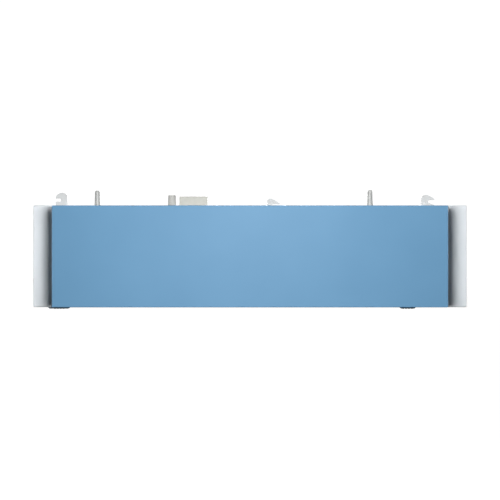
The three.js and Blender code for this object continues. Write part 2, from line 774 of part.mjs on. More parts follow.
// The top rail's slots let the hooks travel, and its holes take the standing pieces
function cutTopRail(rail) {
  let solid = rail.translate([0, railFront, railTop]);
  const hookSlot = (hook, stem, side) => {
    const back = stem - side * (hook.stemWidth / 2 + slotGap);
    const front = stem + side * (Math.max(hook.lipReach, hook.stemWidth / 2) + slotGap);
    const moved = back - side * latchTravel;
    solid = solid.subtract(block(
      Math.min(front, moved), Math.max(front, moved),
      latchFront - slotGap, latchRear + slotGap, webInside - past, railTop + past,
    ));
  };
  hookSlot(leftHook, leftStem, -1);
  hookSlot(centreHook, centreStemOffset, 1);
  hookSlot(rightHook, rightStem, 1);
  for (const { x } of topPieces()) {
    solid = solid.subtract(holeAlongZ(x, pinShankRadius, webInside, railTop));
  }
  for (const { x } of blockScrewPlaces()) {
    solid = solid.subtract(holeAlongZ(x, screwRadius, webInside, railTop));
  }
  return solid;
}

// The bottom rail's slots let the grips' necks travel
function cutBottomRail(rail) {
  let solid = rail.translate([0, railFront, railBottom]);
  const neckSlot = (x, side) => {
    const half = gripNeckWidth / 2 + slotGap;
    const deep = gripNeckDepth / 2 + slotGap;
    const far = x - side * latchTravel;
    solid = solid.subtract(block(
      Math.min(x, far) - half, Math.max(x, far) + half,
      latchY - deep, latchY + deep, railBottom - past, railBottom + railSheet + past,
    ));
  };
  neckSlot(leftSpine, -1);
  neckSlot(rightArm, 1);
  return solid;
}

// An end cap closes the rails' ends. Its web stops short of the front sheet's round corners, and
// its legs fit between the rails' legs.
function endCap(side) {
  const length = railTop - railBottom - 2 * (trayCorner - traySheet);
  const outside = trayWidth / 2 - traySheet - seatGap;
  const cap = channel(length, -railFront, railLip, side * Math.PI / 2)
    .translate([side * outside, railFront, (railTop + railBottom) / 2]);
  const inner = outside - railSheet;
  const legRoom = railLip + seatGap;
  const notch = (z0, z1) => block(
    Math.min(side * inner, side * (inner - railLip)) - seatGap,
    Math.max(side * inner, side * (inner - railLip)) + seatGap,
    railFront - past, past, z0, z1,
  );
  return cap
    .subtract(notch(railTop - legRoom, railTop + past))
    .subtract(notch(railBottom - past, railBottom + legRoom));
}

buildFace();
buildStandoffs();
buildLeftLatch();
buildRightLatch();
buildTopPieces();
buildTray();

export default panel;
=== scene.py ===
import json
import math

import bmesh
import bpy
from mathutils import Matrix, Vector

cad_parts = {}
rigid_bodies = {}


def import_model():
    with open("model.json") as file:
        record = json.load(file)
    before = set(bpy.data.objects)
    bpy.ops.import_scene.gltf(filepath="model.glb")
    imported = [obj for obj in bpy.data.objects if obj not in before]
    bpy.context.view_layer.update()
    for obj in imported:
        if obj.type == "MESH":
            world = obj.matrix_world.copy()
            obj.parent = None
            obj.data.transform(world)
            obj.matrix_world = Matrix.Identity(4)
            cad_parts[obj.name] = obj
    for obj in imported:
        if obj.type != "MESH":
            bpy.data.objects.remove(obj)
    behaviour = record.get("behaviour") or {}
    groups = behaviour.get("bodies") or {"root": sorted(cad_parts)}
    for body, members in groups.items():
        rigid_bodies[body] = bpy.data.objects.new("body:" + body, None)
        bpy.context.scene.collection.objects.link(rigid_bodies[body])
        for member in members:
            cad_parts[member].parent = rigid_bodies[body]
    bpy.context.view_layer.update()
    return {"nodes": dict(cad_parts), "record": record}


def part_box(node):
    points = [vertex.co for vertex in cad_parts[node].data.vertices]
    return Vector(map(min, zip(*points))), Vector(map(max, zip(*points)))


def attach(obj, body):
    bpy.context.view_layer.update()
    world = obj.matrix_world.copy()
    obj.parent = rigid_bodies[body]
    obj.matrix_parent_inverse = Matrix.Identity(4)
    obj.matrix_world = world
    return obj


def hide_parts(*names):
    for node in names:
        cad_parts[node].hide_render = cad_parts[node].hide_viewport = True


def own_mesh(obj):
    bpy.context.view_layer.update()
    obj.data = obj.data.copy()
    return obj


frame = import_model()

mm = 0.001
hair = 0.0001  # places closer than this count as one
yAxis = Vector((0, 1, 0))
zAxis = Vector((0, 0, 1))
bodyOf = {node: body for body, nodes in frame["record"]["behaviour"]["bodies"].items() for node in nodes}
slotOf = {part["node"]: part["material_slot"] for part in frame["record"]["subparts"]}


def low(node):
    return Vector(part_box(node)[0])


def high(node):
    return Vector(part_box(node)[1])


def middle(node):
    return (low(node) + high(node)) / 2


def linear(hexColour):
    # sRGB hex to the linear colour that the shader wants
    parts = [int(hexColour[i:i + 2], 16) / 255 for i in (1, 3, 5)]
    toned = [c / 12.92 if c <= 0.04045 else ((c + 0.055) / 1.055) ** 2.4 for c in parts]
    return (*toned, 1.0)


def addNode(tree, kind, settings=None, links=None):
    # one node, with its settings by attribute or socket name and its links from other outputs
    node = tree.nodes.new(kind)
    for key, value in (settings or {}).items():
        if hasattr(node, key):
            setattr(node, key, value)
        else:
            node.inputs[key].default_value = value
    for key, output in (links or {}).items():
        tree.links.new(output, node.inputs[key])
    return node


def perMm(size):
    # noise scale whose features are about this many millimetres across
    return 1000 / size


def makeFinish(values):
    # one material: noise patterns of real size that vary its colour, its roughness and its relief
    material = bpy.data.materials.new(values["name"])
    material.use_nodes = True
    tree = material.node_tree
    tree.nodes.clear()
    principled = addNode(tree, "ShaderNodeBsdfPrincipled", values["shader"])
    addNode(tree, "ShaderNodeOutputMaterial", links={"Surface": principled.outputs["BSDF"]})
    coords = addNode(tree, "ShaderNodeTexCoord")
    fields = {}
    for label, (size, detail, roughness, stretch) in values["patterns"].items():
        mapping = addNode(
            tree, "ShaderNodeMapping", {"Scale": stretch}, {"Vector": coords.outputs["Object"]},
        )
        pattern = addNode(
            tree, "ShaderNodeTexNoise",
            {"Scale": perMm(size), "Detail": detail, "Roughness": roughness},
            {"Vector": mapping.outputs["Vector"]},
        )
        fields[label] = pattern.outputs["Fac"]
    first, second, share = values["toneFrom"]
    mixed = addNode(
        tree, "ShaderNodeMix", {"data_type": "FLOAT", "Factor": share},
        {"A": fields[first], "B": fields[second]},
    )
    tone = addNode(tree, "ShaderNodeValToRGB", links={"Fac": mixed.outputs["Result"]})
    start, end = values["toneSpan"]
    stops = [linear(colour) for colour in values["tones"]]
    elements = tone.color_ramp.elements
    elements[0].position, elements[0].color = start, stops[0]
    elements[1].position, elements[1].color = end, stops[-1]
    for i, stop in enumerate(stops[1:-1], 1):
        elements.new(start + (end - start) * i / (len(stops) - 1)).color = stop
    tree.links.new(tone.outputs["Color"], principled.inputs["Base Color"])
    source, smoother, duller = values["dullness"]
    base = values["shader"]["Roughness"]
    dullness = addNode(
        tree, "ShaderNodeMapRange",
        {**usualNoise, "To Min": base - smoother, "To Max": base + duller}, {"Value": fields[source]},
    )
    tree.links.new(dullness.outputs["Result"], principled.inputs["Roughness"])
    below = {}
    for label, depth, strength in values["relief"]:
        relief = addNode(
            tree, "ShaderNodeBump", {"Strength": strength, "Distance": depth * mm},
            {"Height": fields[label], **below},
        )
        below = {"Normal": relief.outputs["Normal"]}
    tree.links.new(below["Normal"], principled.inputs["Normal"])
    return material


# the range that most of a noise pattern's values fall in
usualNoise = {"From Min": 0.3, "From Max": 0.7}
even = (1.0, 1.0, 1.0)
upright = (1.0, 1.0, 0.06)
alongX = (0.3, 1.0, 1.0)

# each pattern: size in millimetres, detail, roughness, stretch; each relief: pattern, depth in
# millimetres, strength; dullness: pattern, how much smoother and how much duller it gets

# Polyester powder coat, sprayed and baked on steel: an even satin colour over a fine orange peel
powderCoat = {
    "patterns": {
        "film": (180, 2.0, 0.45, even), "speck": (0.9, 2.0, 0.6, even), "peel": (2.7, 2.0, 0.5, even),
    },
    "toneFrom": ("film", "speck", 0.3), "toneSpan": (0.34, 0.66),
    "dullness": ("peel", 0.05, 0.06), "relief": (("peel", 0.05, 0.12), ("speck", 0.02, 0.12)),
}
# Bright zinc plated on cold-rolled steel: cloudy passivation and soft lines along the rolling. The
# lines are really 0.2 mm apart and drawn coarser so that they show
zincPlate = {
    "patterns": {"blotch": (9, 4.0, 0.6, even), "rolling": (1.6, 3.0, 0.55, upright)},
    "toneFrom": ("blotch", "rolling", 0.1), "toneSpan": (0.32, 0.68),
    "dullness": ("rolling", 0.07, 0.1), "relief": (("rolling", 0.02, 0.25), ("blotch", 0.03, 0.2)),
}
# Injection-moulded plastic: a slightly cloudy pigment under the spark-eroded grain of the tool. The
# grain is really about 0.15 mm across and drawn coarser so that it shows
mouldedPlastic = {
    "patterns": {"pigment": (14, 3.0, 0.5, even), "tool": (0.7, 3.0, 0.65, even)},
    "toneFrom": ("pigment", "tool", 0.1), "toneSpan": (0.34, 0.66),
    "dullness": ("tool", 0.06, 0.08), "relief": (("tool", 0.04, 0.35),),
}
# Moulded rubber: dull all over, with bloom in soft patches. Its pits are really about 0.2 mm across
# and drawn coarser so that they show
rubberMoulding = {
    "patterns": {"bloom": (6, 4.0, 0.6, even), "pits": (0.8, 3.0, 0.7, even)},
    "toneFrom": ("bloom", "pits", 0.1), "toneSpan": (0.3, 0.7),
    "dullness": ("pits", 0.04, 0.05), "relief": (("pits", 0.08, 0.4),),
}
# Drawn music wire: fine drawing lines read as a streaky grey shine. The lines are really 0.05 mm
# apart and drawn coarser so that they show
springWire = {
    "patterns": {"streak": (1.2, 3.0, 0.6, alongX), "oil": (5, 3.0, 0.5, even)},
    "toneFrom": ("streak", "oil", 0.15), "toneSpan": (0.3, 0.7),
    "dullness": ("streak", 0.06, 0.1), "relief": (("streak", 0.02, 0.3),),
}
# Kraft honeycomb board: short paper fibres laid along the board, mottled and quite matt
kraftBoard = {
    "patterns": {"fibre": (1.5, 5.0, 0.7, alongX), "mottle": (12, 3.0, 0.5, even)},
    "toneFrom": ("fibre", "mottle", 0.5), "toneSpan": (0.3, 0.7),
    "dullness": ("fibre", 0.04, 0.05), "relief": (("fibre", 0.15, 0.5),),
}

recipes = {
    "blue_powder_coat": {
        **powderCoat, "name": "skyBluePowderCoat", "tones": ("#5f8cae", "#618eb0", "#6390b2"),
        "shader": {"Roughness": 0.5, "IOR": 1.5, "Specular IOR Level": 0.17},
    },
    "grey_powder_coat": {
        **powderCoat, "name": "lightGreyPowderCoat", "tones": ("#dce1e5", "#dfe4e8", "#e2e7eb"),
        "shader": {"Roughness": 0.48, "IOR": 1.5, "Specular IOR Level": 0.17},
    },
    "hook_coat": {
        **powderCoat, "name": "coatedHookSteel", "tones": ("#b7b9b9", "#bdbfbf", "#c3c5c5"),
        "shader": {"Roughness": 0.45, "IOR": 1.5, "Specular IOR Level": 0.17},
    },
    "zinc_steel": {
        **zincPlate, "name": "brightZincPlate", "tones": ("#a1a6ab", "#a9adb1", "#b0afab"),
        "shader": {"Metallic": 1.0, "Roughness": 0.38},
    },
    "spring_steel": {
        **springWire, "name": "drawnSpringWire", "tones": ("#6c7074", "#8f9397"),
        "shader": {"Metallic": 1.0, "Roughness": 0.3},
    },
    "grip_nylon": {
        **mouldedPlastic, "name": "darkGreyNylon", "tones": ("#515c66", "#57636d"),
        "shader": {"Roughness": 0.52, "IOR": 1.53},
    },
    "glide_acetal": {
        **mouldedPlastic, "name": "whiteAcetal", "tones": ("#e3e3dd", "#e9e9e4"),
        "shader": {
            "Roughness": 0.4, "IOR": 1.48, "Subsurface Weight": 0.1,
            "Subsurface Radius": (0.002, 0.002, 0.002), "Subsurface Scale": 1.0,
        },
    },
    "pin_moulding": {
        **mouldedPlastic, "name": "lightGreyNylon", "tones": ("#a5a6a4", "#abacaa"),
        "shader": {"Roughness": 0.42, "IOR": 1.53},
    },
    "buffer_rubber": {
        **rubberMoulding, "name": "lightGreyRubber", "tones": ("#afafab", "#b8b8b4"),
        "shader": {
            "Roughness": 0.8, "IOR": 1.52, "Specular IOR Level": 0.3,
            "Sheen Weight": 0.15, "Sheen Roughness": 0.5,
        },
    },
    "block_moulding": {
        **mouldedPlastic, "name": "warmGreyAbs", "tones": ("#a5a59d", "#aaaaa2"),
        "shader": {"Roughness": 0.5, "IOR": 1.54},
    },
    "honeycomb_board": {
        **kraftBoard, "name": "kraftHoneycomb", "tones": ("#9c8059", "#b79b72"),
        "shader": {"Roughness": 0.9, "IOR": 1.45},
    },
}
finishes = {slot: makeFinish(values) for slot, values in recipes.items()}
print("materials ready:", len(finishes))


smoothAngle = 35  # degrees; faces that meet at less than this are shaded as one surface
flatWeight = 100  # how strongly wide faces set the shading of their rounded edges


def finishPiece(name, bm, nodes, smooth=smoothAngle, squash=None, sheet=None):
    # turns a bmesh into a piece that stands for its CAD nodes and rides on their body
    nodes = [nodes] if isinstance(nodes, str) else nodes
    bmesh.ops.recalc_face_normals(bm, faces=bm.faces)
    for face in bm.faces:
        face.smooth = True
    for edge in bm.edges:
        edge.smooth = len(edge.link_faces) == 2 and edge.calc_face_angle(0) < math.radians(smooth)
    mesh = bpy.data.meshes.new(name)
    bm.to_mesh(mesh)
    bm.free()
    piece = bpy.data.objects.new(name, mesh)
    bpy.context.scene.collection.objects.link(piece)
    mesh.materials.append(finishes[slotOf[nodes[0]]])
    if sheet:
        # sheet metal thickness, grown inwards from the outer surface
        skin = piece.modifiers.new("sheetMetal", "SOLIDIFY")
        skin.thickness = sheet * mm
        skin.offset = -1
        skin.use_even_offset = True
    if squash:
        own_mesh(piece)
    else:
        # wide flats stay flat right up to their rounded edges
        flats = piece.modifiers.new("flatShading", "WEIGHTED_NORMAL")
        flats.keep_sharp = True
        flats.weight = flatWeight
    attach(piece, bodyOf[nodes[0]])
    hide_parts(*nodes)
    return piece


def cuboid(lowest, highest):
    # a box between two corners
    bm = bmesh.new()
    made = bmesh.ops.create_cube(bm, size=1.0)["verts"]
    bmesh.ops.scale(bm, vec=Vector(highest) - Vector(lowest), verts=made)
    bmesh.ops.translate(bm, vec=(Vector(lowest) + Vector(highest)) / 2, verts=made)
    return bm


def roundEdges(bm, edges, width, segments=3):
    bmesh.ops.bevel(
        bm, geom=list(edges), offset=width * mm, offset_type="OFFSET", affect="EDGES",
        segments=segments, profile=0.5, material=-1, clamp_overlap=True,
    )


def sharpEdges(edges, angle=30):
    # edges whose two faces meet at more than the angle in degrees
    limit = math.radians(angle)
    return [e for e in edges if len(e.link_faces) == 2 and e.calc_face_angle(0) > limit]


def edgesAlong(bm, direction):
    parallel = 0.999
    turned = [(e, (e.verts[1].co - e.verts[0].co).normalized()) for e in bm.edges]
    return [edge for edge, heading in turned if abs(heading.dot(direction)) > parallel]


def onPlane(items, axis, value):
    # the edges or faces that lie in a plane across the given axis
    return [item for item in items if all(abs(v.co[axis] - value) < hair for v in item.verts)]


seam = mm / 200  # points of a spun piece closer than this are joined


def revolve(profile, steps=24, closed=False):
    # spins a profile of (radius, height) points in millimetres about Z
    bm = bmesh.new()
    verts = [bm.verts.new((r * mm, 0, h * mm)) for r, h in profile]
    pairs = list(zip(verts, verts[1:])) + ([(verts[-1], verts[0])] if closed else [])
    edges = [bm.edges.new(pair) for pair in pairs]
    bmesh.ops.spin(
        bm, geom=verts + edges, cent=(0, 0, 0), axis=(0, 0, 1), dvec=(0, 0, 0),
        angle=math.tau, steps=steps, use_merge=True, use_duplicate=False,
    )
    bmesh.ops.remove_doubles(bm, verts=bm.verts, dist=seam)
    bmesh.ops.recalc_face_normals(bm, faces=bm.faces)
    return bm


def place(bm, centre, direction=zAxis):
    # moves a piece drawn about Z to its place, its height along the direction
    turn = zAxis.rotation_difference(direction).to_matrix().to_4x4()
    bmesh.ops.transform(bm, matrix=Matrix.Translation(centre) @ turn, verts=bm.verts)
    return bm


def arc(centreR, centreH, radius, start, end, steps=4):
    # profile points of a round stretch, angles in degrees from straight outwards
    points = []
    for i in range(steps + 1):
        angle = math.radians(start + (end - start) * i / steps)
        points.append((centreR + radius * math.cos(angle), centreH + radius * math.sin(angle)))
    return points


threadSize = {"pitch": 1.0, "depth": 0.3, "crestStart": 0.4, "crestEnd": 0.55}


def thread(radius, start, end):
    # ridges of a screw thread as profile points from one height up to another
    size = threadSize
    turns = max(1, round((end - start) / size["pitch"]))
    step = (end - start) / turns
    root = radius - size["depth"]
    points = [(root, start)]
    for i in range(turns):
        foot = start + i * step
        points += [(radius, foot + step * size["crestStart"]), (radius, foot + step * size["crestEnd"])]
        points.append((root, foot + step))
    return points


def hexRadius(co, flats):
    # distance from the axis to a hexagon's outline in the direction of a point
    turn = math.atan2(co.y, co.x) % (math.tau / 6) - math.tau / 12
    return flats / 2 / math.cos(turn)


socketRim = 0.3


def sinkSocket(bm, crown, flats, depth):
    # a hexagon recess in the flat top of a revolved head
    top = onPlane(bm.faces, 2, crown * mm)
    hub = bmesh.ops.dissolve_faces(bm, faces=top)["region"][0]
    bmesh.ops.inset_region(bm, faces=[hub], thickness=socketRim * mm, depth=0, use_even_offset=True)
    for vert in hub.verts:
        reach = hexRadius(vert.co, flats * mm)
        flat = Vector((vert.co.x, vert.co.y, 0)).normalized() * reach
        vert.co = (flat.x, flat.y, vert.co.z)
    floor = bmesh.ops.extrude_discrete_faces(bm, faces=[hub])["faces"][0]
    bmesh.ops.translate(bm, vec=(0, 0, -depth * mm), verts=floor.verts)
    return bm


flatAngle = 1.5  # degrees; faces closer than this to one plane are joined


def copyOfNode(node):
    # the CAD solid with its flats joined into single faces
    bm = bmesh.new()
    bm.from_mesh(frame["nodes"][node].data)
    bmesh.ops.remove_doubles(bm, verts=bm.verts, dist=hair / 10)
    bmesh.ops.dissolve_limit(
        bm, angle_limit=math.radians(flatAngle), verts=bm.verts, edges=bm.edges, delimit=set(),
    )
    return bm


# face tile: folded skin, board core and closing sheet
faceTile = {
    "bend": 3.8, "corner": 3.0, "lip": 9.0, "sheet": 1.2, "foldSteps": 6, "lipSteps": 3, "foldAngle": 57,
    "closingEdge": 0.2, "coreEdge": 0.4, "edgeSteps": 2,
}


def foldedSkin(lowest, highest):
    # outer surface of a folded box: open at the back inside its return lips, with round folds
    size = faceTile
    bm = cuboid(lowest, highest)
    bmesh.ops.delete(bm, geom=onPlane(bm.faces, 1, highest.y), context="FACES_ONLY")
    centre = (lowest + highest) / 2
    rim = [e for e in bm.edges if e.is_boundary]
    made = bmesh.ops.extrude_edge_only(bm, edges=rim)["geom"]
    for vert in (g for g in made if isinstance(g, bmesh.types.BMVert)):
        vert.co.x -= math.copysign(size["lip"] * mm, vert.co.x - centre.x)
        vert.co.z -= math.copysign(size["lip"] * mm, vert.co.z - centre.z)
    corners = [e for e in edgesAlong(bm, yAxis) if len(e.link_faces) == 2]
    roundEdges(bm, corners, size["corner"], size["foldSteps"])
    roundEdges(bm, onPlane(bm.edges, 1, lowest.y), size["bend"], size["foldSteps"])
    lipFold = sharpEdges(onPlane(bm.edges, 1, highest.y), size["foldAngle"])
    roundEdges(bm, lipFold, size["sheet"], size["lipSteps"])
    return bm


def buildFaceTile():
    size = faceTile
    skin = foldedSkin(low("face_skin"), high("face_skin"))
    finishPiece("face_skin_folded", skin, "face_skin", sheet=size["sheet"])
    for name, node, width in (
        ("face_closing_sheet", "face_back_sheet", size["closingEdge"]),
        ("face_core_board", "face_core", size["coreEdge"]),
    ):
        bm = copyOfNode(node)
        roundEdges(bm, sharpEdges(bm.edges), width, size["edgeSteps"])
        finishPiece(name, bm, node)


buildFaceTile()
print("face tile done")

# sheet parts, plates and grips keep the CAD outline and get softened edges of these widths
softened = {
    "tray_sheet": 0.2, "top_rail": 0.2, "bottom_rail": 0.2, "left_end_cap": 0.2, "right_end_cap": 0.2,
    "left_latch_plate": 0.45, "centre_hook": 0.45, "right_hook": 0.45, "release_arm": 0.3, "draw_bar": 0.25,
    "left_spring_bracket": 0.25, "right_spring_bracket": 0.25, "left_grip": 0.6, "right_grip": 0.6,
}
softenSteps = 2
bracketBend = {"radius": 1.8, "steps": 4, "shortest": 20, "wallArea": 0.0003, "facing": 0.9}


def bendEdges(bm, node):
    # the upright outer corner of an angle bracket, beside its wide wall
    size = bracketBend
    wallEnds = (low(node).x, high(node).x)
    upright = [
        e for e in edgesAlong(bm, zAxis)
        if abs(e.verts[0].co.y - low(node).y) < hair and e.calc_length() > size["shortest"] * mm
        and min(abs(e.verts[0].co.x - x) for x in wallEnds) < hair
    ]
    return [
        e for e in upright
        if any(f.calc_area() > size["wallArea"] and abs(f.normal.x) > size["facing"] for f in e.link_faces)
    ]


def softenParts():
    for node, width in softened.items():
        bm = copyOfNode(node)
        if node.endswith("bracket"):
            roundEdges(bm, bendEdges(bm, node), bracketBend["radius"], bracketBend["steps"])
        roundEdges(bm, sharpEdges(bm.edges), width, softenSteps)
        finishPiece(node + "_finished", bm, node)


softenParts()
print("plates and rails done")


def nodesNamed(start="", end=""):
    return sorted(n for n in frame["nodes"] if n.startswith(start) and n.endswith(end))


# socket screws: the stand-offs' and brackets' heads face back, and the key block's face down
screwSize = {
    "radius": 3.0, "headRadius": 6.0, "headHeight": 3.6, "crownRadius": 4.3, "downCrownRadius": 5.0,
    "flats": 3.6, "socketDepth": 1.8, "point": 0.8, "neck": 0.4, "headEdge": 0.3, "crownEdge": 0.4,
    "crownSpread": 0.2, "crownLean": 20,
}


def headScrew(node, direction, crownRadius):
    # a socket screw whose head ends at the far side of its box along the direction
    size = screwSize
    axis = 1 if direction == yAxis else 2
    length = (high(node)[axis] - low(node)[axis]) / mm
    top = middle(node)
    top[axis] = high(node)[axis] if direction[axis] > 0 else low(node)[axis]
    r, head, tall = size["radius"], size["headRadius"], size["headHeight"]
    tip, point, edge, crown = tall - length, size["point"], size["headEdge"], size["crownEdge"]
    profile = [(0, tip), (r - point, tip)] + thread(r, tip + point, -size["neck"])
    profile += [(r, 0), (head - edge, 0)] + arc(head - edge, edge, edge, -90, 0, 2)
    profile += arc(crownRadius + size["crownSpread"], tall - crown, crown, size["crownLean"], 90, 3)
    profile.append((0, tall))
    bm = sinkSocket(revolve(profile), tall, size["flats"], size["socketDepth"])
    return place(bm, top - direction * tall * mm, direction)


def buildScrews():
    for node in nodesNamed("standoff_screw_") + nodesNamed(end="_bracket_screw"):
        finishPiece(node + "_socket", headScrew(node, yAxis, screwSize["crownRadius"]), node)
    for node in nodesNamed("key_block_screw"):
        finishPiece(node + "_socket", headScrew(node, -zAxis, screwSize["downCrownRadius"]), node)


standoffSize = {
    "radius": 10.0, "spigot": 5.0, "spigotLength": 7.0, "spigotEdge": 0.6, "bore": 3.3, "boreDepth": 14.3,
    "lead": 0.4, "chamfer": 0.8, "groove": 0.5, "grooveFrom": 3.0, "seatGap": 0.3, "steps": 32,
}


def buildStandoffs():
    size = standoffSize
    r, c, g, spigot = size["radius"], size["chamfer"], size["groove"], size["spigot"]
    bore, lead, edge, depth = size["bore"], size["lead"], size["spigotEdge"], size["boreDepth"]
    for node in nodesNamed("standoff_"):
        if node.startswith("standoff_screw"):
            continue
        foot = middle(node)
        foot.y = high(node).y
        length = (high(node).y - low(node).y) / mm
        face = length - size["spigotLength"] - size["seatGap"]
        profile = [(bore + lead, 0), (r - c, 0), (r, c)]
        for groove in (size["grooveFrom"], face - size["grooveFrom"] - 2 * g):
            profile += [(r, groove), (r - g, groove + g), (r, groove + 2 * g)]
        profile += [(r, face - c), (r - c, face), (spigot, face), (spigot, length - edge)]
        profile += [(spigot - edge, length), (0, length), (0, depth), (bore, depth), (bore, lead)]
        bm = place(revolve(profile, size["steps"], closed=True), foot, -yAxis)
        finishPiece(node + "_turned", bm, node)


glideSize = {"radius": 9.0, "bore": 4.3, "edge": 0.6, "lead": 0.4, "steps": 32}
guideSize = {
    "radius": 3.0, "threadLength": 5.8, "shoulder": 4.0, "shoulderEdge": 0.3, "headRadius": 8.0,
    "headHeight": 3.0, "headEdge": 0.3, "chamfer": 0.5, "flats": 4.2, "socketDepth": 2.0,
    "point": 0.6, "neck": 0.3,
}


def glideWasher(node):
    size = glideSize
    foot = middle(node)
    foot.y = low(node).y
    height = (high(node).y - low(node).y) / mm
    r, bore, e, lead = size["radius"], size["bore"], size["edge"], size["lead"]
    profile = [(bore, 0), (r - e, 0)] + arc(r - e, e, e, -90, 0, 3) + arc(r - e, height - e, e, 0, 90, 3)
    profile += [(bore + lead, height), (bore, height - lead)]
    return place(revolve(profile, size["steps"], closed=True), foot, yAxis)


def shoulderScrew(node):
    size = guideSize
    r, shoulder, head, tall = size["radius"], size["shoulder"], size["headRadius"], size["headHeight"]
    c, point, neck = size["chamfer"], size["point"], size["neck"]
    edge, headEdge = size["shoulderEdge"], size["headEdge"]
    length = (high(node).y - low(node).y) / mm
    tip, seat = tall - length, tall + size["threadLength"] - length
    profile = [(0, tip), (r - point, tip)] + thread(r, tip + point, seat - neck)
    profile += [(r - edge, seat), (shoulder - edge, seat), (shoulder, seat + edge), (shoulder, 0)]
    profile += [(head - headEdge, 0), (head, headEdge), (head, tall - c), (head - c, tall), (0, tall)]
    bm = sinkSocket(revolve(profile), tall, size["flats"], size["socketDepth"])
    foot = middle(node)
    foot.y = high(node).y - tall * mm
    return place(bm, foot, yAxis)


def buildGuides():
    for glide in nodesNamed(end="_glide"):
        finishPiece(glide + "_washer", glideWasher(glide), glide)
        screw = glide.replace("_glide", "_screw")
        finishPiece(screw + "_shoulder", shoulderScrew(screw), screw)


# the dome: distance from the axis and drop below the crown
rivetSize = {
    "radius": 3.0, "headRadius": 4.6, "headHeight": 1.4,
    "dome": ((0, 0), (1.6, 0.12), (3.0, 0.5), (4.1, 1.0)),
}


def buildRivets():
    size = rivetSize
    for node in nodesNamed(end="_rivet_a") + nodesNamed(end="_rivet_b"):
        half = (high(node).y - low(node).y) / 2 / mm
        seat = half - size["headHeight"]
        dome = [(radius, half - drop) for radius, drop in size["dome"]] + [(size["headRadius"], seat)]
        lower = [(radius, -height) for radius, height in dome]
        profile = lower + [(size["radius"], -seat), (size["radius"], seat)] + dome[::-1]
        finishPiece(node + "_domed", place(revolve(profile), middle(node), yAxis), node)


nutSize = {
    "flats": 13.0, "bore": 4.3, "height": 6.5, "lead": 0.4, "land": 0.98, "rim": 0.5, "chamfer": 0.6,
    "cornerDrop": 0.6, "cornerLift": 0.4,
}


def buildNuts():
    size = nutSize
    flats, bore, tall, lead = size["flats"], size["bore"], size["height"], size["lead"]
    flat = flats / 2
    land, rim, chamfer = flat * size["land"], flat + size["rim"], size["chamfer"]
    for node in nodesNamed(end="_nut"):
        profile = [(bore + lead, 0), (land, 0), (rim, chamfer), (rim, tall - chamfer), (land, tall)]
        profile += [(bore + lead, tall), (bore, tall - lead), (bore, lead)]
        bm = revolve(profile, closed=True)
        for vert in bm.verts:
            reach = math.hypot(vert.co.x, vert.co.y)
            if reach > flat * mm:
                # the round rim goes out to the hexagon, lowest at its corners
                corner = hexRadius(vert.co, flats * mm)
                drop = (corner - flat * mm) * size["cornerDrop"]
                vert.co.z += math.copysign(drop - size["cornerLift"] * mm, tall / 2 * mm - vert.co.z)
                vert.co.x *= corner / reach
                vert.co.y *= corner / reach
        foot = middle(node)
        foot.z = low(node).z
        finishPiece(node + "_hexagon", place(bm, foot), node)


buildScrews()
buildStandoffs()
buildGuides()
buildRivets()
buildNuts()
print("fixings done")

# pieces that stand on the top rail
standing = {
    "shank": 4.0, "point": 0.8, "threadShort": 2, "neck": 1.5,
    "foot": 8.0, "footHeight": 2.5, "footEdge": 0.3,
    "base": 8.8, "baseEdge": 0.4, "collar": 2.4, "collarStep": 0.4, "tip": 7.3, "crown": 5.5,
    "stopBase": 12.3, "stopBaseEdge": 0.8, "stopTop": 11.4, "stopEdge": 1.6,
    "dimple": 4.2, "dimpleSide": 0.6, "dimpleDepth": 0.8, "steps": 40,
}


def shankProfile(seat):
    # threaded shank, then the narrow foot that the wider body stands on
    size = standing
    shank, point, foot, edge = size["shank"], size["point"], size["foot"], size["footEdge"]
    rise = seat + size["footHeight"]
    profile = [(0, 0), (shank - point, 0)] + thread(shank, point, seat - size["threadShort"])
    profile += [(shank, seat - size["neck"]), (shank, seat)]
    return profile + [(foot, seat), (foot, rise - edge), (foot + edge, rise)]


def stopProfile(rise, tall):
    size = standing
    base, edge, top, e = size["stopBase"], size["stopBaseEdge"], size["stopTop"], size["stopEdge"]
    dimple, depth = size["dimple"], size["dimpleDepth"]
    body = arc(base - edge, rise + edge, edge, -90, 0, 3) + arc(top - e, tall - e, e, 0, 90, 5)
    return body + [(dimple, tall), (dimple - size["dimpleSide"], tall - depth), (0, tall - depth)]


def pinProfile(rise, tall):
    size = standing
    base, edge, tip, crown = size["base"], size["baseEdge"], size["tip"], size["crown"]
    collar, step = size["collar"], size["collarStep"]
    body = arc(base - edge, rise + edge, edge, -90, 0, 2)
    body += [(base, rise + collar), (base - step, rise + collar + step)]
    return body + arc(tip - crown, tall - crown, crown, 0, 90, 8) + [(0, tall)]


def buildStandingPieces():
    seatLevel = low("key_block").z
    for node in ("left_pin", "right_pin", "bump_stop"):
        foot = middle(node)
        foot.z = low(node).z
        tall = (high(node).z - low(node).z) / mm
        seat = (seatLevel - low(node).z) / mm
        rise = seat + standing["footHeight"]
        isStop = node == "bump_stop"
        profile = shankProfile(seat) + (stopProfile(rise, tall) if isStop else pinProfile(rise, tall))
        label = "_moulded" if isStop else "_tapered"
        finishPiece(node + label, place(revolve(profile, standing["steps"]), foot), node)


blockSize = {
    "corner": 1.2, "cornerSteps": 5, "edge": 0.8, "edgeSteps": 3, "frame": 3.5, "step": 0.4, "recess": 0.6,
    "foldAngle": 57, "facing": 0.99,
}


